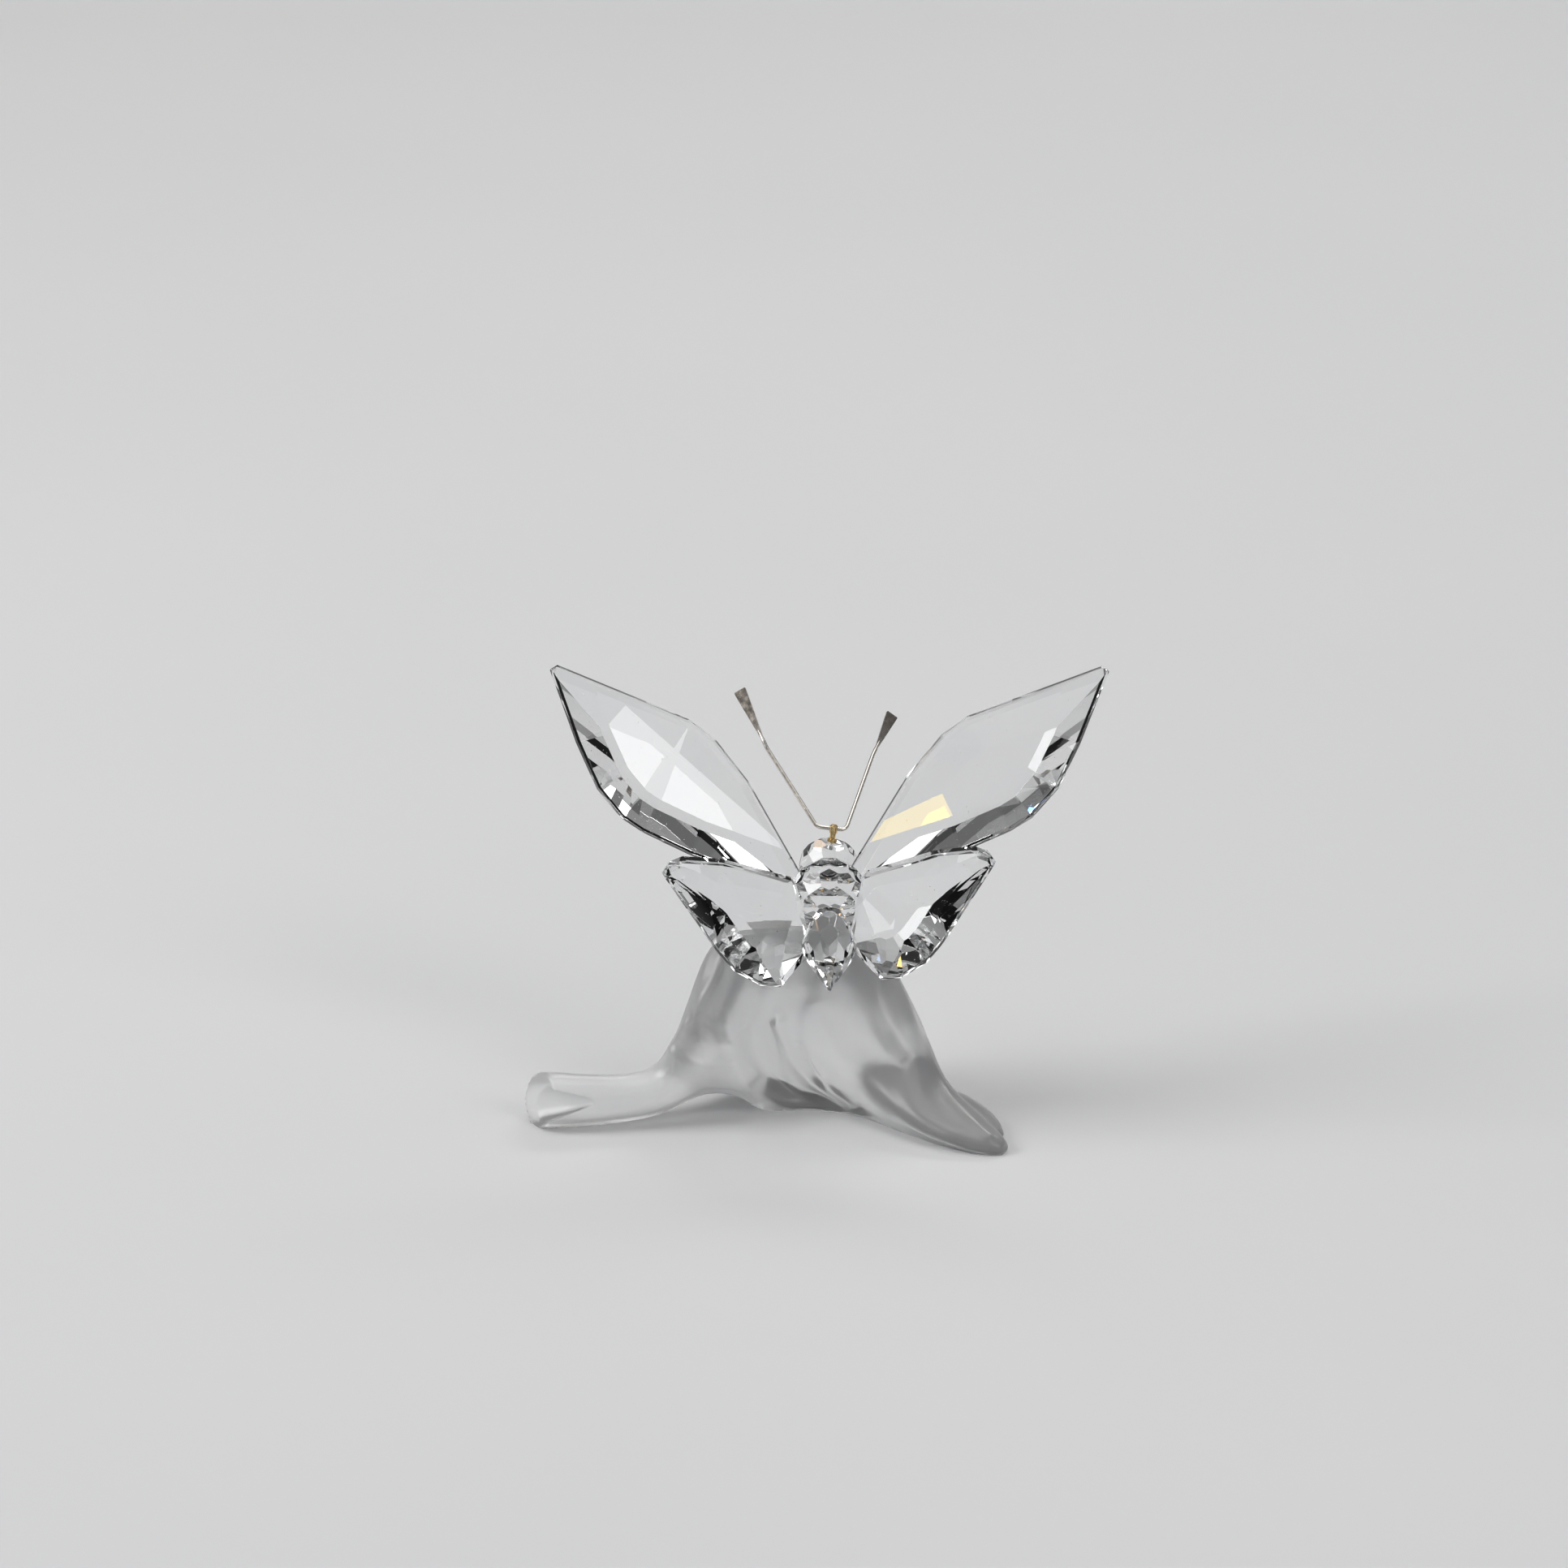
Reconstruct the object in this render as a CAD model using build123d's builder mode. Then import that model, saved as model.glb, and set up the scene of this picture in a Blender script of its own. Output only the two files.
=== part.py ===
from build123d import *
import os
from collections import namedtuple
from math import atan, cos, degrees, exp, radians, sin, sqrt, tan

# Butterfly ornament: a cut-crystal butterfly bonded on top of a satin-frosted glass leaf stand.
# Millimetres, +Z up, +X to the right as seen from behind the butterfly, +Y the way its head points.
# The origin lies on the ground rest face, just under the thorax.

LEFT, RIGHT = -1, 1

# Shared sizes
cut_overrun = 3.0  # how far a tool runs past what it cuts
blank_share = 1.2  # size of a bead's round blank, as a share of its facets' distance
bond_thickness = 0.1  # film of clear adhesive between two ground flats
pin_clearance = 0.03  # gap round a pin or a wire in its hole

# Leaf stand
stand_width = 59.0
stand_height = 21.7
stand_depth = 28.0
stem_scoop_radius = 2.7  # at the mouth
stem_end_direction = (-0.86, -0.45, 0.2)  # the open end is cut slanting, towards the viewer

# Every bead and the drop carry rings of facets; the belt is the ring whose facets run along the axis
belt_angle = 90.0  # from the axis

# Thorax, a faceted ball
thorax_facet_distance = 4.55
thorax_seat_cut = 0.25  # how far below the facets a seat is ground
thorax_offset_x = 0.3
thorax_offset_y = 0.5
thorax_tilt_angle = 15.0
thorax_belt_facets = 12
thorax_slope_angle = 28.0  # between the belt's facets and the rings beside them
thorax_cap_facets = 8
thorax_cap_angle = 55.0

# Head, a faceted bead
head_facet_distance = 3.5
head_seat_cut = 0.8
head_top_cut = 0.2  # for the flat under the antenna post
head_rise_angle = 10.0
head_belt_facets = 12
head_slope_angle = 32.0
head_cap_facets = 6
head_cap_angle = 62.0

# Abdomen, a faceted drop
abdomen_facets = 8  # in each ring
abdomen_radius = 3.2
abdomen_neck_length = 5.2  # from the seat to the widest ring
abdomen_shoulder_radius = 2.75
abdomen_shoulder_length = 2.6
abdomen_cap_radius = 2.1
abdomen_cap_length = 4.3
abdomen_tip_angle = 21.0
abdomen_tip_cut = 0.25
abdomen_drop_angle = 20.0
abdomen_waist_angle, abdomen_shoulder_angle, abdomen_cap_angle = 99, 118, 131  # from its axis

# Forewings
forewing_length = 41.3
forewing_chord = 16.2
forewing_girdle = 0.7
forewing_crown = 1.6
forewing_pavilion = 2.2
forewing_depth = -2.4  # of the girdle plane from the thorax centre, along the wing's front normal
forewing_root_bite = 1.1  # how much of the pointed root the seat flat takes away
forewing_bevel_angles = (52.0, 22.0)  # leading and trailing
forewing_pavilion_angle = 17.0

# Hindwings
hindwing_length = 18.2
hindwing_chord = 15.4
hindwing_girdle = 0.8
hindwing_crown = 1.9
hindwing_pavilion = 3.1
hindwing_depth = 0.1
hindwing_root_bite = 1.1
hindwing_bevel_angles = (42.0, 31.0)
hindwing_pavilion_angle = 25.0

# What all wings share; their angles are measured from the girdle plane
star_angle = 20.0
pavilion_edge_angle = 46.0
pavilion_break = 1.1  # width of the steep row beside the girdle
star_start_share = 0.45  # of the crown's height, where a star starts over its corner

# Adhesive films
wing_bond_radius = 0.8
body_bond_radius = 1.3
stand_bond_radius = 1.7

# Antenna post
post_lean_angle = 7.0
post_shank_radius = 0.36
post_collar_radius = 0.6
post_collar_height = 0.35
post_eye_radius = 0.5
post_eye_height = 1.0
post_eye_chamfer = 0.16
post_height = 2.2
post_spigot_length = 1.3

# Antennae
antenna_length = 22.0
wire_radius = 0.25
wire_elbow_radius = 1.0
paddle_width = 1.6
paddle_thickness = 0.22
paddle_neck_length = 2.4  # over which the round wire thins into the flattened end
paddle_corner_radius = 0.15


def cut_facet(direction, point):
    """Cuts the current piece flat: all that lies past the point along the direction goes."""
    split(bisect_by=Plane(origin=point, z_dir=direction), keep=Keep.BOTTOM)


def cut_ring(axis_plane, polar_angle, count, half_step, distance):
    """Grinds one ring of facets round a plane's Z, all at one distance from its origin."""
    polar = radians(polar_angle)
    for number in range(count):
        turn = radians(360 / count * (number + (1 / 2 if half_step else 0)))
        across = axis_plane.x_dir * cos(turn) + axis_plane.y_dir * sin(turn)
        direction = axis_plane.z_dir * cos(polar) + across * sin(polar)
        cut_facet(direction, axis_plane.origin + direction * distance)


def cut_ring_pair(axis_plane, lean_angle, count, half_step, distance):
    """Grinds the two rings that lean by an angle to either side of a bead's belt."""
    for polar_angle in (belt_angle - lean_angle, belt_angle + lean_angle):
        cut_ring(axis_plane, polar_angle, count, half_step, distance)


def ring_distance(polar_angle, radius, height):
    """Distance from the origin of a facet that passes a radius at a height along the axis."""
    return radius * sin(radians(polar_angle)) + height * cos(radians(polar_angle))


def save(builder, label):
    """Names a finished piece and writes it to its own file."""
    builder.part.label = label
    export_step(builder.part, f"parts/{label}.step")


os.makedirs("parts", exist_ok=True)

# Places that the pieces share
thorax_seat_distance = thorax_facet_distance - thorax_seat_cut
head_seat_distance = head_facet_distance - head_seat_cut
thorax_center = Vector(
    thorax_offset_x,
    thorax_offset_y,
    stand_height + bond_thickness + thorax_seat_distance,
)
seat_reach = thorax_seat_distance + bond_thickness
thorax_axis = Vector(0, cos(radians(thorax_tilt_angle)), sin(radians(thorax_tilt_angle)))
head_axis = Vector(0, cos(radians(head_rise_angle)), sin(radians(head_rise_angle)))
head_center = thorax_center + head_axis * (seat_reach + head_seat_distance)
abdomen_axis = Vector(0, -cos(radians(abdomen_drop_angle)), -sin(radians(abdomen_drop_angle)))
post_axis = Vector(sin(radians(post_lean_angle)), 0, cos(radians(post_lean_angle)))
post_foot = head_center + post_axis * (head_facet_distance - head_top_cut)


class Wing:
    """One wing: its blank, where its girdle plane lies and where it seats on the thorax."""

    def __init__(self, blank, side, rise_share, dihedral, sweep, incidence, seat_angle):
        level = cos(radians(dihedral))
        span = Vector(
            side * level * cos(radians(sweep)),
            level * sin(radians(sweep)),
            sin(radians(dihedral)),
        )
        forward = Vector(0, 1, 0)
        chord = (forward - span * forward.dot(span)).normalized()
        upward = span.cross(chord) * side
        turn = radians(incidence)
        normal = upward * cos(turn) - chord * sin(turn)
        leading = chord * cos(turn) + upward * sin(turn)
        reach = sqrt(seat_reach**2 - blank.depth**2)
        toward_seat = span * cos(radians(seat_angle)) + leading * sin(radians(seat_angle))
        self.blank = blank
        self.leading = Vector(0, side)
        self.plane = Plane(origin=thorax_center + normal * blank.depth, x_dir=span, z_dir=normal)
        self.seat_direction = (normal * blank.depth + toward_seat * reach).normalized()
        self.corners = [
            Vector(
                reach - blank.root_bite + along * blank.length,
                side * (rise_share + across) * blank.chord,
            )
            for along, across in blank.outline_shares
        ]


# Outlines: how far along the length, and how far towards the leading edge as a share of the chord
forewing_outline_shares = [
    (0.0, 0.037),
    (0.341, 0.364),
    (0.496, 0.444),
    (0.59, 0.426),
    (0.993, 0.031),
    (1.0, -0.025),
    (0.8, -0.333),
    (0.664, -0.506),
    (0.551, -0.556),
    (0.474, -0.525),
    (0.322, -0.401),
    (0.0, -0.037),
]
hindwing_outline_shares = [
    (0.038, 0.123),
    (0.593, 0.221),
    (0.868, 0.208),
    (0.956, 0.156),
    (1.0, 0.071),
    (0.973, 0.019),
    (0.604, -0.545),
    (0.489, -0.682),
    (0.308, -0.779),
    (0.159, -0.773),
    (-0.071, -0.429),
]

WingBlank = namedtuple(
    "WingBlank",
    "length chord girdle crown pavilion depth root_bite"
    " bevel_angles pavilion_angle starred outline_shares",
)
forewing = WingBlank(
    forewing_length,
    forewing_chord,
    forewing_girdle,
    forewing_crown,
    forewing_pavilion,
    forewing_depth,
    forewing_root_bite,
    forewing_bevel_angles,
    forewing_pavilion_angle,
    False,
    forewing_outline_shares,
)
hindwing = WingBlank(
    hindwing_length,
    hindwing_chord,
    hindwing_girdle,
    hindwing_crown,
    hindwing_pavilion,
    hindwing_depth,
    hindwing_root_bite,
    hindwing_bevel_angles,
    hindwing_pavilion_angle,
    True,
    hindwing_outline_shares,
)

# Blank, side, how far forward of its span line as a share of the chord, then in degrees: dihedral,
# sweep, incidence, and how far forward of the span line the seat lies round the thorax
wings = {
    "forewing_left": Wing(forewing, LEFT, -0.031, 39.1, 15.5, 49.2, -7.0),
    "forewing_right": Wing(forewing, RIGHT, 0.056, 37.7, 13.4, 48.9, 12.0),
    "hindwing_left": Wing(hindwing, LEFT, -0.02, 12.0, -15.4, 49.7, -16.0),
    "hindwing_right": Wing(hindwing, RIGHT, 0.02, 13.7, -14.1, 49.3, -16.0),
}


def grind_wing(wing):
    """Cuts the bevels of a wing blank: crown mains and stars, then two rows on the pavilion."""
    plane, corners = wing.plane, wing.corners
    middle = sum(corners, Vector()) * (1 / len(corners))
    count = len(corners)
    outward = []
    for number, corner in enumerate(corners):
        following = corners[(number + 1) % count]
        edge = (following - corner).normalized()
        normal = Vector(edge.Y, -edge.X)
        outward.append(normal if normal.dot(corner - middle) > 0 else -normal)
    leading_angle, trailing_angle = wing.blank.bevel_angles
    bevel_angles = [
        leading_angle if across.dot(wing.leading) > 0 else trailing_angle for across in outward
    ]

    def facet(across, angle, local_point, face):
        """Facet that leans outward by an angle from the front or the back face."""
        local = across * sin(radians(angle)) + Vector(0, 0, face * cos(radians(angle)))
        direction = plane.from_local_coords(local) - plane.origin
        cut_facet(direction, plane.from_local_coords(local_point))

    front, back = 1, -1
    half = wing.blank.girdle / 2
    break_height = pavilion_break * tan(radians(pavilion_edge_angle))
    for corner, across, bevel_angle in zip(corners, outward, bevel_angles):
        facet(across, bevel_angle, corner + Vector(0, 0, half), front)
        facet(across, pavilion_edge_angle, corner - Vector(0, 0, half), back)
        inner = corner - across * pavilion_break - Vector(0, 0, half + break_height)
        facet(across, wing.blank.pavilion_angle, inner, back)
    if wing.blank.starred:
        star_height = wing.blank.crown * star_start_share
        for number, corner in enumerate(corners):
            before, after = outward[number - 1], outward[number]
            before_inset = star_height / tan(radians(bevel_angles[number - 1]))
            after_inset = star_height / tan(radians(bevel_angles[number]))
            diagonal = (before * before_inset + after * after_inset) * (1 / (1 + before.dot(after)))
            star_point = corner - diagonal + Vector(0, 0, half + star_height)
            facet(diagonal.normalized(), star_angle, star_point, front)


# Thorax
with BuildPart() as thorax:
    thorax_plane = Plane(origin=thorax_center, x_dir=(1, 0, 0), z_dir=thorax_axis)
    with Locations(thorax_center):
        Sphere(radius=thorax_facet_distance * blank_share)
    cut_ring(thorax_plane, belt_angle, thorax_belt_facets, True, thorax_facet_distance)
    cut_ring_pair(thorax_plane, thorax_slope_angle, thorax_belt_facets, False, thorax_facet_distance)
    cut_ring_pair(thorax_plane, thorax_cap_angle, thorax_cap_facets, True, thorax_facet_distance)
    seat_directions = [head_axis, abdomen_axis, Vector(0, 0, -1)]
    seat_directions += [wing.seat_direction for wing in wings.values()]
    for direction in seat_directions:
        cut_facet(direction, thorax_center + direction * thorax_seat_distance)
save(thorax, "thorax")

# Head
with BuildPart() as head:
    head_plane = Plane(origin=head_center, x_dir=(1, 0, 0), z_dir=head_axis)
    with Locations(head_center):
        Sphere(radius=head_facet_distance * blank_share)
    cut_ring(head_plane, belt_angle, head_belt_facets, True, head_facet_distance)
    cut_ring_pair(head_plane, head_slope_angle, head_belt_facets, False, head_facet_distance)
    cut_ring(head_plane, belt_angle - head_cap_angle, head_cap_facets, False, head_facet_distance)
    cut_facet(head_axis, head_center + head_axis * head_facet_distance)
    cut_facet(-head_axis, head_center - head_axis * head_seat_distance)
    cut_facet(post_axis, post_foot)
    with BuildSketch(Plane(origin=post_foot, z_dir=post_axis)):
        Circle(post_shank_radius + pin_clearance)
    extrude(amount=-(post_spigot_length + pin_clearance), mode=Mode.SUBTRACT)
save(head, "head")

# Abdomen
with BuildPart() as abdomen:
    widest_point = thorax_center + abdomen_axis * (seat_reach + abdomen_neck_length)
    abdomen_plane = Plane(origin=widest_point, x_dir=(1, 0, 0), z_dir=abdomen_axis)
    point_length = abdomen_radius / tan(radians(abdomen_tip_angle))
    with BuildSketch(abdomen_plane.offset(-abdomen_neck_length)):
        Circle(abdomen_radius * blank_share)
    extrude(amount=abdomen_neck_length + point_length)
    for polar_angle, radius, height, half_step in (
        (belt_angle - abdomen_tip_angle, abdomen_radius, 0, False),
        (abdomen_waist_angle, abdomen_radius, 0, True),
        (abdomen_shoulder_angle, abdomen_shoulder_radius, -abdomen_shoulder_length, False),
        (abdomen_cap_angle, abdomen_cap_radius, -abdomen_cap_length, True),
    ):
        distance = ring_distance(polar_angle, radius, height)
        cut_ring(abdomen_plane, polar_angle, abdomen_facets, half_step, distance)
    cut_facet(abdomen_axis, widest_point + abdomen_axis * (point_length - abdomen_tip_cut))
save(abdomen, "abdomen")

# Wings
for label, wing in wings.items():
    blank = wing.blank
    with BuildPart() as crystal:
        with BuildSketch(wing.plane.offset(-blank.girdle / 2 - blank.pavilion)):
            with BuildLine():
                Polyline(*wing.corners, close=True)
            make_face()
        extrude(amount=blank.pavilion + blank.girdle + blank.crown)
        grind_wing(wing)
        cut_facet(-wing.seat_direction, thorax_center + wing.seat_direction * seat_reach)
    save(crystal, label)


# Adhesive films
def film(direction, radius):
    """Disc of adhesive on one of the thorax's seats."""
    seat = Plane(origin=thorax_center + direction * thorax_seat_distance, z_dir=direction)
    with BuildSketch(seat) as disc:
        Circle(radius)
    extrude(disc.sketch, amount=bond_thickness)


with BuildPart() as wing_bonds:
    for wing in wings.values():
        film(wing.seat_direction, wing_bond_radius)
save(wing_bonds, "wing_bonds")

with BuildPart() as body_bonds:
    film(head_axis, body_bond_radius)
    film(abdomen_axis, body_bond_radius)
save(body_bonds, "body_bonds")

with BuildPart() as stand_bond:
    film(Vector(0, 0, -1), stand_bond_radius)
save(stand_bond, "stand_bond")

# Antenna post
eye_center = post_foot + post_axis * (post_height - post_eye_height / 2)
bore_axis = Vector(cos(radians(post_lean_angle)), 0, -sin(radians(post_lean_angle)))
with BuildPart() as antenna_post:
    post_plane = Plane(origin=post_foot, x_dir=bore_axis, z_dir=post_axis)
    with BuildSketch(post_plane.offset(-post_spigot_length)):
        Circle(post_shank_radius)
    extrude(amount=post_spigot_length + post_height - post_eye_height / 2)
    with BuildSketch(post_plane):
        Circle(post_collar_radius)
    extrude(amount=post_collar_height)
    with BuildSketch(post_plane.offset(post_height - post_eye_height)):
        Circle(post_eye_radius)
    extrude(amount=post_eye_height)
    chamfer(antenna_post.edges().group_by(SortBy.DISTANCE)[-1], post_eye_chamfer)
    with BuildSketch(Plane(origin=eye_center, z_dir=bore_axis)):
        Circle(wire_radius + pin_clearance)
    extrude(amount=post_eye_radius + cut_overrun, both=True, mode=Mode.SUBTRACT)
save(antenna_post, "antenna_post")

# Antennae: how far out the elbow is, then the knee where the flattened end starts and its tip, as
# places from the eye of the post, out to the side, forward and up, all as shares of the length
antenna_elbow_shares = {LEFT: 0.095, RIGHT: 0.068}
antenna_route_shares = {
    LEFT: [(0.373, 0.359, 0.348), (0.527, 0.607, 0.605)],
    RIGHT: [(0.22, 0.464, 0.266), (0.332, 0.732, 0.416)],
}
# Half outline of the flattened end: how far along it, and the width there
paddle_outline_shares = [(0.0, 0.15), (0.4, 0.5), (1.0, 1.0)]
for side, label in ((LEFT, "antenna_left"), (RIGHT, "antenna_right")):
    bore_direction = bore_axis * side
    start = eye_center + bore_direction * pin_clearance
    elbow = eye_center + bore_direction * (antenna_elbow_shares[side] * antenna_length)
    knee, tip = [
        eye_center + Vector(side * out, forward, up) * antenna_length
        for out, forward, up in antenna_route_shares[side]
    ]
    along = (tip - knee).normalized()
    neck = knee + along * wire_elbow_radius
    neck_end = neck + along * paddle_neck_length
    paddle_length = (tip - neck).length
    wide = along.cross(Vector(0, 1, 0)).normalized()
    upper_edge = [(far * paddle_length, w * paddle_width / 2) for far, w in paddle_outline_shares]
    lower_edge = [(far, -half_width) for far, half_width in reversed(upper_edge)]
    with BuildPart() as antenna:
        with BuildLine() as route:
            FilletPolyline(start, elbow, knee, neck, radius=wire_elbow_radius)
        with BuildSketch(Plane(origin=start, z_dir=bore_direction)):
            Circle(wire_radius)
        sweep(path=route.line)
        with BuildSketch(Plane(origin=neck, x_dir=wide, z_dir=along)):
            Circle(wire_radius)
        with BuildSketch(Plane(origin=neck_end, x_dir=wide, z_dir=along)):
            Circle(paddle_thickness / 4)
        loft()
        with BuildSketch(Plane(origin=neck, x_dir=along, z_dir=along.cross(wide))) as paddle:
            with BuildLine():
                Polyline(*upper_edge, *lower_edge, close=True)
            make_face()
            fillet(paddle.vertices().sort_by(Axis.X)[-2:], paddle_corner_radius)
        extrude(amount=paddle_thickness / 2, both=True)
    save(antenna, label)

# Leaf stand: upright sections from the stem's open end, over the body, to the tip of the front lobe.
# Along and across of the front foot and of the back foot, bottom and top, how far the crest lies
# from front to back, then how much the front and the back swell below their middle.
stand_section_shares = [
    (-0.64, -0.462, -0.64, -0.223, -0.005, 0.309, 0.5, 0.0, 0.0),
    (-0.56, -0.462, -0.56, -0.223, -0.005, 0.309, 0.5, 0.0, 0.0),
    (-0.466, -0.432, -0.466, -0.221, 0.0, 0.288, 0.5, 0.0, 0.0),
    (-0.373, -0.4, -0.373, -0.16, 0.02, 0.295, 0.5, 0.0, 0.0),
    (-0.322, -0.378, -0.322, -0.1, 0.055, 0.43, 0.52, 0.1, 0.1),
    (-0.283, -0.35, -0.283, 0.0, 0.07, 0.69, 0.56, 0.25, 0.2),
    (-0.245, -0.33, -0.245, 0.09, 0.08, 0.92, 0.62, 0.4, 0.35),
    (-0.185, -0.3, -0.185, 0.19, 0.03, 1.03, 0.62, 0.5, 0.45),
    (-0.1, -0.26, -0.1, 0.27, -0.13, 1.05, 0.52, 0.6, 0.5),
    (-0.01, -0.27, 0.0, 0.31, -0.15, 1.06, 0.5, 0.6, 0.5),
    (0.066, -0.32, 0.115, 0.28, -0.15, 0.99, 0.52, 0.5, 0.5),
    (0.13, -0.44, 0.2, 0.13, -0.12, 0.6, 0.62, 0.3, 0.3),
    (0.2, -0.58, 0.252, -0.16, -0.06, 0.27, 0.68, 0.1, 0.1),
    (0.28, -0.688, 0.322, -0.42, -0.04, 0.15, 0.64, 0.0, 0.0),
    (0.335, -0.712, 0.362, -0.58, -0.03, 0.1, 0.55, 0.0, 0.0),
    (0.362, -0.7, 0.376, -0.64, -0.02, 0.06, 0.5, 0.0, 0.0),
]
# Soft dents and one swelling in the front of the drapery: along and up, half width and half height,
# then how deep
stand_dent_shares = [
    (-0.15, 0.5, 0.04, 0.14, 0.1),
    (-0.1, 0.3, 0.045, 0.13, 0.11),
    (-0.03, 0.12, 0.055, 0.12, 0.09),
    (-0.25, 0.5, 0.045, 0.11, 0.09),
    (0.12, 0.38, 0.06, 0.18, 0.03),
    (-0.21, 0.22, 0.05, 0.14, -0.04),
]
section_points = 22
section_steps = 2  # sections from one row of the table to the next


def stand_place(along, deep, up):
    """Place in the stand, from shares of its width, depth and height."""
    return Vector(along * stand_width, deep * stand_depth, up * stand_height)


def eased(rows, number, share):
    """Row between two rows of a table, on a smooth curve through their neighbours."""
    last = len(rows) - 1
    before, start = rows[max(number - 1, 0)], rows[number]
    end, after = rows[min(number + 1, last)], rows[min(number + 2, last)]
    return [
        b + share / 2 * (c - a + share * (2 * a - 5 * b + 4 * c - d + share * (3 * (b - c) + d - a)))
        for a, b, c, d in zip(before, start, end, after)
    ]


def stand_section(front_x, front_y, back_x, back_y, bottom, top, crest, front_swell, back_swell):
    """One upright section of the stand as a closed outline."""
    front_foot = stand_place(front_x, front_y, 0)
    back_foot = stand_place(back_x, back_y, 0)
    across = back_foot - front_foot
    outline = []
    for number in range(section_points):
        turn = radians(360 / section_points * number)
        height = bottom + (top - bottom) * (1 - cos(turn)) / 2
        faces_front = sin(turn) > 0
        swell = front_swell if faces_front else back_swell
        reach = -crest if faces_front else crest - 1
        wide = reach * sin(turn) * (1 + swell * cos(turn)) / (1 + swell**2 / 2)
        away = (crest + wide) * across.length
        for along, up, half_width, half_height, depth in stand_dent_shares:
            far = ((front_x - along) / half_width) ** 2 + ((height - up) / half_height) ** 2
            away += depth * stand_depth * exp(-far) * max(sin(turn), 0)
        outline.append((away, height * stand_height))
    upright = Plane(origin=front_foot, x_dir=across, z_dir=across.cross(Vector(0, 0, 1)))
    with BuildSketch(upright) as section:
        with BuildLine():
            Polyline(*outline, close=True)
        make_face()
    return section.sketch


# The back lobe's sections: middle along the width, the depth and the height, then the width as a share
# of the width and the thickness as a share of the height
back_lobe_shares = [
    (0.18, -0.08, 0.05, 0.1, 0.18),
    (0.265, -0.23, 0.045, 0.1, 0.15),
    (0.318, -0.4, 0.04, 0.08, 0.12),
    (0.347, -0.55, 0.03, 0.045, 0.09),
]


def lobe(section_shares):
    """Tongue of the leaf: flat round sections square to its middle line, level across."""
    middles = [stand_place(along, deep, up) for along, deep, up, _, _ in section_shares]
    sections = []
    for number, (_, _, _, width, thickness) in enumerate(section_shares):
        heading = middles[min(number + 1, len(middles) - 1)] - middles[max(number - 1, 0)]
        across = heading.cross(Vector(0, 0, 1))
        with BuildSketch(Plane(origin=middles[number], x_dir=across, z_dir=heading)) as section:
            Ellipse(width * stand_width / 2, thickness * stand_height / 2)
        sections.append(section.sketch)
    loft(sections)


# Open end of the stem: where its slanting cut lies, and the pointed scoop that opens to the front
stem_end_shares = (-0.593, -0.35, 0.155)
scoop_mouth_shares = (-0.61, -0.415, 0.157)
scoop_point_shares = (-0.463, -0.437, 0.19)

with BuildPart() as leaf_stand:
    last_row = len(stand_section_shares) - 1
    sections = [
        stand_section(*eased(stand_section_shares, number, step / section_steps))
        for number in range(last_row)
        for step in range(section_steps)
    ]
    sections.append(stand_section(*stand_section_shares[last_row]))
    loft(sections)
    lobe(back_lobe_shares)
    split(bisect_by=Plane.XY.offset(stand_height), keep=Keep.BOTTOM)
    split(bisect_by=Plane.XY, keep=Keep.TOP)
    cut_facet(stem_end_direction, stand_place(*stem_end_shares))
    scoop_point, scoop_mouth = stand_place(*scoop_point_shares), stand_place(*scoop_mouth_shares)
    scoop_length = (scoop_mouth - scoop_point).length
    far_end = Plane(origin=scoop_mouth * 2 - scoop_point, z_dir=scoop_point - scoop_mouth)
    with BuildSketch(far_end):
        Circle(2 * stem_scoop_radius)
    extrude(
        amount=2 * scoop_length,
        taper=degrees(atan(stem_scoop_radius / scoop_length)),
        mode=Mode.SUBTRACT,
    )
save(leaf_stand, "leaf_stand")
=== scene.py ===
import math

import bpy
import numpy as np
from mathutils import Matrix, Vector


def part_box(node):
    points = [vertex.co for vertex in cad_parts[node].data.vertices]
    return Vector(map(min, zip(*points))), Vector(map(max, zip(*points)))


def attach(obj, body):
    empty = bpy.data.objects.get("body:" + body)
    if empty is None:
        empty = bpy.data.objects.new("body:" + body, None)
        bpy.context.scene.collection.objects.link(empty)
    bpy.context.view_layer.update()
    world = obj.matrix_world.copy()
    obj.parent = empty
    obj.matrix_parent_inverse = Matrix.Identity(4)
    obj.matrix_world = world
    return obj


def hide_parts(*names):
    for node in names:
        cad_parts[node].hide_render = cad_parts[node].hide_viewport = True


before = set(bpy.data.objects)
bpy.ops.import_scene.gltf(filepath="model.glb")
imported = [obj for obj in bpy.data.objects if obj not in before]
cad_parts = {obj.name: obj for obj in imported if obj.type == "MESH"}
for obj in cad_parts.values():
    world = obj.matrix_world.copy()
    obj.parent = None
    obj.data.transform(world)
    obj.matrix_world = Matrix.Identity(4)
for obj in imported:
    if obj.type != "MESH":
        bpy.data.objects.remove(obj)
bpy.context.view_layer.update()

# Butterfly ornament: cut-crystal butterfly on a satin-frosted glass leaf stand.
# Metres, +Z up, +X to the right as seen from behind the butterfly, +Y the way its head points.

MM = 0.001

# Camera: the photograph is 1932 pixels square at 0.1 mm a pixel, seen from 20 degrees above.
# The target is given across the picture and up it, from the origin.
photo_width = 193.2 * MM
camera_elevation = math.radians(20.0)
camera_distance = 1200 * MM
camera_target_right = -5.2 * MM
camera_target_up = 38.4 * MM
sensor_width = 36.0  # in millimetres
camera_far_end = 10.0

# Directions of the photograph: across it, up it, and into it
picture_right = Vector((1.0, 0.0, 0.0))
picture_up = Vector((0.0, math.sin(camera_elevation), math.cos(camera_elevation)))
picture_in = Vector((0.0, math.cos(camera_elevation), -math.sin(camera_elevation)))
camera_target = picture_right * camera_target_right + picture_up * camera_target_up
camera_place = camera_target - picture_in * camera_distance

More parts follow.
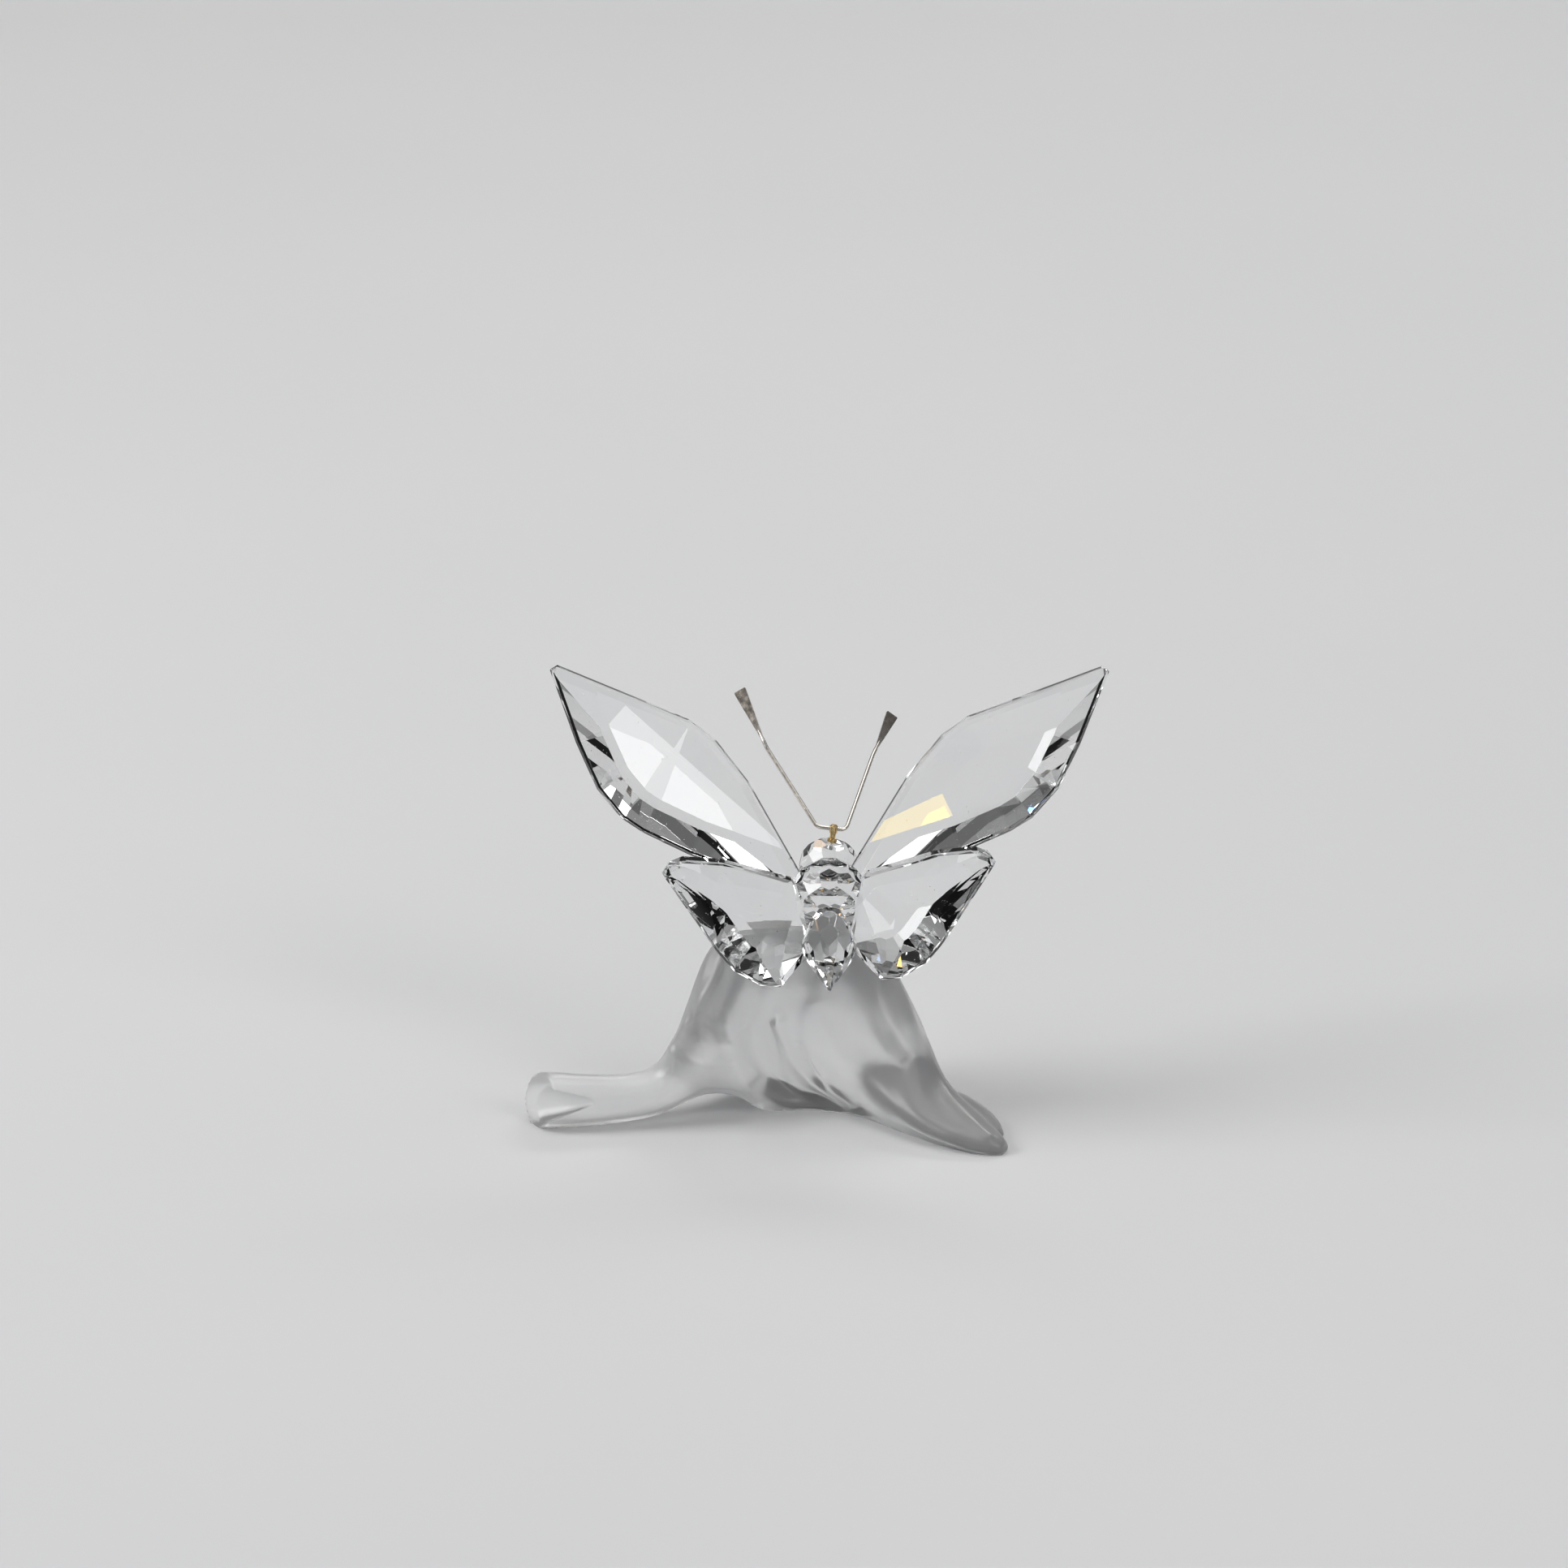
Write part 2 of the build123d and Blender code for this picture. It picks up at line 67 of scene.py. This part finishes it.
# Skin of the stand
stand_voxel = 0.24 * MM
smooth_rounds, smooth_share = 16, 0.5
settle_rounds, settle_share = 2, 0.4
stem_left_of = -27.0 * MM
stem_smooth_share = 0.1  # of the rest's smoothing, so that the stem's thin rim stays
flat_margin = 0.1 * MM  # how near a point lies to the sole or the seat to belong to it
seat_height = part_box("leaf_stand")[1].z
fold_foot_start = 0.3 * MM  # the folds fade out above the ground flat
fold_foot_fade = 1.6 * MM
facing_gain = 1.6  # how soon a side that turns away loses its folds

# Crystal
facet_edge_round = 0.035 * MM
facet_edge_angle = math.radians(4.0)
facet_edge_steps = 2
weld_reach = 0.002 * MM

# Surfaces: how they bend and pass light, the size of their blotches and grain, and its depth
crystal_ior, glass_ior = 1.56, 1.5
frosted_transmission, adhesive_transmission = 0.75, 0.95
crystal_tint_size, crystal_speck_size, crystal_wave_size = 6 * MM, 0.35 * MM, 7 * MM
crystal_wave_strength, crystal_wave_depth = 0.05, 0.01 * MM
frosted_tint_size, frosted_satin_size = 9 * MM, 1.3 * MM
frosted_ripple_size, frosted_grain_size, ripple_gain = 0.9 * MM, 0.12 * MM, 2.0
frosted_grain_strength, frosted_grain_depth = 0.35, 0.02 * MM
tarnish_blotch_size, tarnish_blotch_reach = 1.6 * MM, 8 * MM
wire_dull_size, wire_line_size, wire_line_stretch = 0.6 * MM, 0.05 * MM, (1, 0.15, 0.15)
wire_line_strength, gilt_grain_strength, metal_grain_depth = 0.25, 0.15, 0.01 * MM
gilt_tone_size, gilt_dull_size, gilt_grain_size = 0.7 * MM, 0.3 * MM, 0.1 * MM
adhesive_tint_size, adhesive_haze_size = 0.8 * MM, 0.3 * MM
floor_tone_size, floor_roughness, floor_shine = 180 * MM, 0.85, 0.2

# Antennae: where they leave the post's eye, and how far their tarnished ends reach from there
post_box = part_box("antenna_post")
wire_eye = ((post_box[0].x + post_box[1].x) / 2, (post_box[0].y + post_box[1].y) / 2, post_box[1].z)
wire_reach = 24 * MM

# Studio, in metres
floor_reach = 3.0
lamp_aim = Vector((0.0, 0.0, 0.02))
# The room is pale at the horizon and dim above it, so that the facets show light and dark
sky_stops = [(0.0, 0.6), (0.1, 0.56), (0.3, 0.1), (0.75, 0.28)]
sky_strength = 1.0
white, orange, amber = (1.0, 1.0, 1.0), (1.0, 0.36, 0.04), (1.0, 0.5, 0.08)
yellow, azure, blue = (1.0, 0.72, 0.03), (0.25, 0.5, 1.0), (0.2, 0.45, 1.0)

# Lamps: watts, size, place and colour. The sparks only show as flashes in single facets.
studio_lamps = {
    "top": (2.8, (0.8, 0.6), (0.0, 0.15, 0.95), white),
    "key": (5.4, (0.6, 0.45), (-0.8, -0.04, 0.62), white),
    "rim": (1.5, (0.5, 0.15), (0.2, 0.65, 0.55), white),
    "orange_spark": (0.05, (0.08, 0.08), (0.42, -0.5, 0.5), orange),
    "blue_spark": (0.05, (0.08, 0.08), (-0.4, -0.52, 0.42), blue),
    "amber_spark": (0.05, (0.08, 0.08), (-0.2, 0.6, 0.5), amber),
    "azure_spark": (0.05, (0.08, 0.08), (0.55, 0.3, 0.5), azure),
}

# Lamps that a wing's table mirrors: the wing, the spot of the photograph that the image lies on in
# millimetres across and up from the origin, its turn in degrees, the lamp's distance, size, watts
# and colour. The photograph shows a softbox in the left forewing and something yellow in the right.
mirror_lamps = {
    "softbox": ("forewing_left", (18.4, -98.5), 138.4, 0.7, (0.4, 0.25), 1.1, white),
    "yellow_card": ("forewing_right", (9.7, 32.0), 25.0, 0.5, (0.018, 0.008), 0.003, yellow),
}


def new_shader(name):
    """A material with its Principled shader, ready for sockets and links."""
    material = bpy.data.materials.new(name)
    material.use_nodes = True
    tree = material.node_tree
    return material, tree, tree.nodes["Principled BSDF"]


def add(tree, kind, **settings):
    """A node with its settings and input values."""
    node = tree.nodes.new(kind)
    for key, value in settings.items():
        if key in node.inputs:
            node.inputs[key].default_value = value
        else:
            setattr(node, key, value)
    return node


def place(tree):
    """Where a point lies in the object, in metres."""
    return add(tree, "ShaderNodeTexCoord").outputs["Object"]


def noise(tree, size, detail=2.0, roughness=0.5, stretch=(1, 1, 1)):
    """Noise with blotches of about the given size in metres, from 0 to 1."""
    mapping = add(tree, "ShaderNodeMapping")
    mapping.inputs["Scale"].default_value = [share / size for share in stretch]
    tree.links.new(place(tree), mapping.inputs["Vector"])
    texture = add(tree, "ShaderNodeTexNoise", Scale=1.0, Detail=detail, Roughness=roughness)
    tree.links.new(mapping.outputs["Vector"], texture.inputs["Vector"])
    return texture.outputs["Fac"]


def ramp(tree, value, stops):
    """Colours or greys along a value."""
    node = add(tree, "ShaderNodeValToRGB")
    elements = node.color_ramp.elements
    while len(elements) < len(stops):
        elements.new(0.5)
    for element, (position, color) in zip(elements, stops):
        element.position = position
        element.color = (*color, 1.0) if isinstance(color, tuple) else (color, color, color, 1.0)
    tree.links.new(value, node.inputs["Fac"])
    return node.outputs["Color"]


def bump(tree, principled, height, strength, distance):
    """Bump on the shader from a height."""
    node = add(tree, "ShaderNodeBump", Strength=strength, Distance=distance)
    tree.links.new(height, node.inputs["Height"])
    tree.links.new(node.outputs["Normal"], principled.inputs["Normal"])


def clear_crystal():
    """Cut lead crystal: clear, with a few dust specks and very slightly wavy facets."""
    material, tree, principled = new_shader("clear_crystal")
    principled.inputs["IOR"].default_value = crystal_ior
    stops = [(0.3, (0.965, 0.975, 0.985)), (0.7, (0.99, 0.99, 0.985))]
    tint = ramp(tree, noise(tree, crystal_tint_size), stops)
    tree.links.new(tint, principled.inputs["Base Color"])
    specks = noise(tree, crystal_speck_size, detail=1.0)
    marks = ramp(tree, specks, [(0.74, 0.0), (0.78, 0.22)])
    tree.links.new(marks, principled.inputs["Roughness"])
    clear = ramp(tree, specks, [(0.76, 1.0), (0.8, 0.55)])
    tree.links.new(clear, principled.inputs["Transmission Weight"])
    wave = noise(tree, crystal_wave_size, detail=0.0)
    bump(tree, principled, wave, crystal_wave_strength, crystal_wave_depth)
    return material


def frosted_glass():
    """Acid-etched glass: a milky satin skin with a fine grain, a little uneven in tone."""
    material, tree, principled = new_shader("frosted_glass")
    principled.inputs["IOR"].default_value = glass_ior
    principled.inputs["Transmission Weight"].default_value = frosted_transmission
    stops = [(0.3, (0.93, 0.935, 0.94)), (0.7, (0.98, 0.98, 0.975))]
    tint = ramp(tree, noise(tree, frosted_tint_size, detail=3.0), stops)
    tree.links.new(tint, principled.inputs["Base Color"])
    satin = ramp(tree, noise(tree, frosted_satin_size, detail=4.0), [(0.3, 0.28), (0.7, 0.37)])
    tree.links.new(satin, principled.inputs["Roughness"])
    grain = add(tree, "ShaderNodeMath", operation="MULTIPLY_ADD")
    tree.links.new(noise(tree, frosted_ripple_size, detail=3.0), grain.inputs[0])
    grain.inputs[1].default_value = ripple_gain
    tree.links.new(noise(tree, frosted_grain_size, detail=3.0, roughness=0.6), grain.inputs[2])
    bump(tree, principled, grain.outputs["Value"], frosted_grain_strength, frosted_grain_depth)
    return material


def wire_steel():
    """Bright drawn wire with fine lines, tarnished towards its flattened ends."""
    material, tree, principled = new_shader("wire_steel")
    principled.inputs["Metallic"].default_value = 1.0
    from_eye = add(tree, "ShaderNodeVectorMath", operation="DISTANCE")
    tree.links.new(place(tree), from_eye.inputs[0])
    from_eye.inputs[1].default_value = wire_eye
    blotches = add(tree, "ShaderNodeMath", operation="MULTIPLY_ADD")
    tree.links.new(noise(tree, tarnish_blotch_size, detail=4.0), blotches.inputs[0])
    blotches.inputs[1].default_value = tarnish_blotch_reach
    tree.links.new(from_eye.outputs["Value"], blotches.inputs[2])
    tarnish = add(tree, "ShaderNodeMath", operation="DIVIDE")
    tree.links.new(blotches.outputs["Value"], tarnish.inputs[0])
    tarnish.inputs[1].default_value = wire_reach
    stops = [(0.15, (0.68, 0.64, 0.58)), (0.7, (0.6, 0.57, 0.53)), (0.95, (0.3, 0.27, 0.24))]
    tree.links.new(ramp(tree, tarnish.outputs["Value"], stops), principled.inputs["Base Color"])
    dull = ramp(tree, noise(tree, wire_dull_size, detail=3.0), [(0.35, 0.14), (0.7, 0.34)])
    tree.links.new(dull, principled.inputs["Roughness"])
    lines = noise(tree, wire_line_size, stretch=wire_line_stretch)
    bump(tree, principled, lines, wire_line_strength, metal_grain_depth)
    return material


def gilt_metal():
    """Gilt pin, worn paler and duller in places."""
    material, tree, principled = new_shader("gilt_metal")
    principled.inputs["Metallic"].default_value = 1.0
    stops = [(0.3, (0.5, 0.34, 0.14)), (0.65, (0.86, 0.66, 0.36))]
    tone = ramp(tree, noise(tree, gilt_tone_size, detail=4.0), stops)
    tree.links.new(tone, principled.inputs["Base Color"])
    dull = ramp(tree, noise(tree, gilt_dull_size, detail=3.0), [(0.35, 0.16), (0.7, 0.4)])
    tree.links.new(dull, principled.inputs["Roughness"])
    grain = noise(tree, gilt_grain_size, detail=2.0)
    bump(tree, principled, grain, gilt_grain_strength, metal_grain_depth)
    return material


def bond_adhesive():
    """Cured clear adhesive with a slight haze."""
    material, tree, principled = new_shader("bond_adhesive")
    principled.inputs["IOR"].default_value = glass_ior
    principled.inputs["Transmission Weight"].default_value = adhesive_transmission
    stops = [(0.3, (0.9, 0.92, 0.92)), (0.7, (0.97, 0.98, 0.97))]
    tint = ramp(tree, noise(tree, adhesive_tint_size), stops)
    tree.links.new(tint, principled.inputs["Base Color"])
    haze = ramp(tree, noise(tree, adhesive_haze_size, detail=3.0), [(0.4, 0.04), (0.7, 0.16)])
    tree.links.new(haze, principled.inputs["Roughness"])
    return material


def studio_floor():
    """Pale matt board."""
    material, tree, principled = new_shader("studio_floor")
    principled.inputs["Roughness"].default_value = floor_roughness
    principled.inputs["Specular IOR Level"].default_value = floor_shine
    stops = [(0.2, (0.6, 0.605, 0.61)), (0.8, (0.63, 0.63, 0.635))]
    tone = ramp(tree, noise(tree, floor_tone_size), stops)
    tree.links.new(tone, principled.inputs["Base Color"])
    return material


materials = {
    "clear_crystal": clear_crystal(),
    "frosted_glass": frosted_glass(),
    "wire_steel": wire_steel(),
    "gilt_metal": gilt_metal(),
    "bond_adhesive": bond_adhesive(),
}


def dress(piece, slot):
    """Gives a piece the material listed under the given name."""
    piece.data.materials.clear()
    piece.data.materials.append(materials[slot])


def soften_edges(piece):
    """Joins the facets' corners and rounds the sharp edges a little, so that they catch light."""
    weld = piece.modifiers.new("weld", "WELD")
    weld.merge_threshold = weld_reach
    bevel = piece.modifiers.new("edges", "BEVEL")
    bevel.width = facet_edge_round
    bevel.segments = facet_edge_steps
    bevel.limit_method = "ANGLE"
    bevel.angle_limit = facet_edge_angle


def mesh_of(piece):
    """A piece's mesh with its modifiers applied."""
    graph = bpy.context.evaluated_depsgraph_get()
    return bpy.data.meshes.new_from_object(piece.evaluated_get(graph))


def points_of(mesh):
    """The mesh's points as rows of x, y, z."""
    points = np.empty(len(mesh.vertices) * 3)
    mesh.vertices.foreach_get("co", points)
    return points.reshape(-1, 3)


def normals_of(mesh):
    """The mesh's point normals as rows of x, y, z."""
    normals = np.empty(len(mesh.vertices) * 3)
    mesh.vertices.foreach_get("normal", normals)
    return normals.reshape(-1, 3)


def neighbour_mean(mesh, values):
    """Each point's mean of its neighbours' values."""
    edges = np.empty(len(mesh.edges) * 2, dtype=np.int64)
    mesh.edges.foreach_get("vertices", edges)
    edges = edges.reshape(-1, 2)
    total = np.zeros_like(values)
    count = np.zeros(len(values))
    for start, end in ((0, 1), (1, 0)):
        np.add.at(total, edges[:, start], values[edges[:, end]])
        np.add.at(count, edges[:, start], 1)
    return total / count[:, None]


def distance_to_line(points, corners):
    """Distance of 2-D points from a line through corners."""
    nearest = np.full(len(points), np.inf)
    for start, end in zip(np.array(corners), np.array(corners[1:])):
        run = end - start
        share = np.clip((points - start) @ run / (run @ run), 0, 1)
        distance = np.linalg.norm(points - start - share[:, None] * run, axis=1)
        nearest = np.minimum(nearest, distance)
    return nearest


def fold_height(points, folds):
    """How far the folds stand out at 2-D points in millimetres, in metres."""
    height = np.zeros(len(points))
    for corners, half_width, rise in folds:
        height += rise * MM * np.exp(-((distance_to_line(points, corners) / half_width) ** 2))
    return height


# Folds of the stand's front, in millimetres across and up the picture from the origin: the line that
# each follows, its half width, and how far it stands out (or in, where negative)
stand_folds = [
    ([(-12.6, 17.2), (-13.8, 14.0), (-15.4, 11.2)], 0.9, 0.9),
    ([(-10.6, 16.6), (-11.6, 13.6), (-12.6, 11.4)], 1.0, -0.5),
    ([(-18.2, 10.8), (-15.0, 9.0), (-12.2, 6.8)], 1.5, -0.9),
    ([(-20.0, 6.8), (-16.6, 4.8), (-13.0, 3.2)], 2.0, 0.9),
    ([(-9.4, 8.2), (-8.4, 5.8), (-6.4, 2.8), (-3.0, 0.2), (3.4, -2.4)], 1.3, -1.1),
    ([(-12.4, 8.8), (-11.4, 5.2), (-10.4, 1.6), (-8.4, -0.6)], 1.1, 0.7),
    ([(-5.8, 9.0), (-4.4, 5.4), (-1.8, 2.2), (2.6, -1.2)], 0.9, 0.8),
    ([(-3.4, 6.4), (-1.6, 3.2), (1.2, 0.2), (4.2, -1.8)], 0.5, -0.5),
    ([(-1.8, 4.6), (0.4, 1.4), (3.8, -1.6)], 0.3, 0.35),
    ([(4.6, 7.6), (7.0, 5.2), (8.6, 4.4)], 2.2, -0.8),
    ([(-0.6, 9.4), (2.4, 3.4), (7.6, -0.6), (14.4, -4.6)], 1.8, 0.55),
    ([(9.0, 14.6), (11.2, 8.0), (15.2, 0.2), (19.6, -4.4)], 0.55, 0.3),
]

# Broad folds of its far side: millimetres across and up from the origin, then as above
far_folds = [
    ([(-5.0, 17.0), (-8.4, 9.0), (-12.6, 2.0)], 1.8, 0.35),
    ([(-1.4, 17.6), (-2.6, 9.0), (-4.6, 2.0)], 1.6, -0.4),
    ([(2.6, 17.4), (3.4, 9.0), (3.8, 2.0)], 1.9, 0.3),
    ([(6.6, 14.0), (9.0, 8.0), (11.4, 2.4)], 1.5, -0.4),
]


def sculpt_stand():
    """Satin glass drape: the CAD stand rebuilt as one even skin, smoothed, with its folds pressed in."""
    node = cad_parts["leaf_stand"]
    blank = bpy.data.objects.new("stand_blank", node.data.copy())
    bpy.context.scene.collection.objects.link(blank)
    remesh = blank.modifiers.new("skin", "REMESH")
    remesh.mode = "VOXEL"
    remesh.voxel_size = stand_voxel
    mesh = mesh_of(blank)
    bpy.data.objects.remove(blank)

    points = points_of(mesh)
    seat = points[:, 2] > seat_height - flat_margin
    sole = points[:, 2] < flat_margin
    share = np.where(points[:, 0] < stem_left_of, stem_smooth_share, 1.0)[:, None]
    for _ in range(smooth_rounds):
        points += smooth_share * share * (neighbour_mean(mesh, points) - points)
    mesh.vertices.foreach_set("co", points.ravel())
    mesh.update()

    normals = normals_of(mesh)
    right, up, inward = (np.array(v) for v in (picture_right, picture_up, picture_in))
    picture = np.stack([points @ right, points @ up], axis=1) / MM
    facing = np.clip(-(normals @ inward) * facing_gain, 0, 1)
    away = np.clip(normals[:, 1] * facing_gain, 0, 1)
    upright = points[:, (0, 2)] / MM
    lift = fold_height(picture, stand_folds) * facing + fold_height(upright, far_folds) * away
    foot_fade = np.clip((points[:, 2] - fold_foot_start) / fold_foot_fade, 0, 1)
    points += normals * (lift * foot_fade)[:, None]
    for _ in range(settle_rounds):
        points += settle_share * share * (neighbour_mean(mesh, points) - points)
    points[sole, 2] = 0
    points[:, 2] = np.clip(points[:, 2], 0, seat_height)
    points[seat, 2] = seat_height
    mesh.vertices.foreach_set("co", points.ravel())
    mesh.update()

    stand = bpy.data.objects.new("leaf_stand_glass", mesh)
    bpy.context.scene.collection.objects.link(stand)
    mesh.polygons.foreach_set("use_smooth", [True] * len(mesh.polygons))
    return stand


stand = sculpt_stand()
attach(stand, "root")
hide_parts("leaf_stand")
dress(stand, "frosted_glass")

crystals = ["thorax", "head", "abdomen"]
crystals += [f"{wing}_{side}" for wing in ("forewing", "hindwing") for side in ("left", "right")]
for label in crystals:
    soften_edges(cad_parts[label])
    dress(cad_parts[label], "clear_crystal")
for label in ("wing_bonds", "body_bonds", "stand_bond"):
    dress(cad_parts[label], "bond_adhesive")
for label in ("antenna_left", "antenna_right"):
    dress(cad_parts[label], "wire_steel")
dress(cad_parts["antenna_post"], "gilt_metal")


# Studio
floor_mesh = bpy.data.meshes.new("floor")
floor_corners = [(x * floor_reach, y * floor_reach, 0) for x, y in ((-1, -1), (1, -1), (1, 1), (-1, 1))]
floor_mesh.from_pydata(floor_corners, [], [(0, 1, 2, 3)])
floor = bpy.data.objects.new("floor", floor_mesh)
bpy.context.scene.collection.objects.link(floor)
floor_mesh.materials.append(studio_floor())


def lamp(name, power, size, at, color):
    """A rectangular soft lamp, aimed at the ornament."""
    data = bpy.data.lights.new(name, "AREA")
    data.shape = "RECTANGLE"
    data.size, data.size_y = size
    data.energy = power
    data.color = color
    obj = bpy.data.objects.new(name, data)
    bpy.context.scene.collection.objects.link(obj)
    obj.location = at
    obj.rotation_euler = (lamp_aim - Vector(at)).to_track_quat("-Z", "Y").to_euler()
    return obj


def mirror_lamp(name, wing, spot, turn, distance, size, power, color):
    """A lamp whose mirror image in a wing's table lies on a spot of the photograph."""
    table = max(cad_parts[wing].data.polygons, key=lambda facet: facet.area)
    normal = table.normal.normalized()

    def mirrored(direction):
        return direction - normal * (2 * direction.dot(normal))

    sight = (picture_right * spot[0] + picture_up * spot[1]) * MM - camera_place
    onto = camera_place + sight * ((table.center - camera_place).dot(normal) / sight.dot(normal))
    turned = math.radians(turn)
    long_side = picture_right * math.cos(turned) + picture_up * math.sin(turned)
    short_side = picture_up * math.cos(turned) - picture_right * math.sin(turned)
    axes = Matrix([mirrored(side) for side in (long_side, short_side, picture_in)]).transposed()
    obj = lamp(name, power, size, onto + mirrored(sight.normalized()) * distance, color)
    obj.rotation_euler = axes.to_euler()


for name, (power, size, at, color) in studio_lamps.items():
    lamp(name, power, size, at, color)
for name, (wing, spot, turn, distance, size, power, color) in mirror_lamps.items():
    mirror_lamp(name, wing, spot, turn, distance, size, power, color)

world = bpy.data.worlds.new("studio")
bpy.context.scene.world = world
world.use_nodes = True
tree = world.node_tree
background = tree.nodes["Background"]
direction = add(tree, "ShaderNodeTexCoord").outputs["Generated"]
split = add(tree, "ShaderNodeSeparateXYZ")
tree.links.new(direction, split.inputs["Vector"])
sky = ramp(tree, split.outputs["Z"], sky_stops)
tree.links.new(sky, background.inputs["Color"])
background.inputs["Strength"].default_value = sky_strength

camera_data = bpy.data.cameras.new("camera")
camera_data.sensor_width = sensor_width
camera_data.lens = sensor_width * camera_distance / photo_width
camera_data.clip_end = camera_far_end
camera = bpy.data.objects.new("camera", camera_data)
bpy.context.scene.collection.objects.link(camera)
camera.location = camera_place
camera.rotation_euler = picture_in.to_track_quat("-Z", "Y").to_euler()
bpy.context.scene.camera = camera
bpy.context.scene.view_settings.view_transform = "Standard"
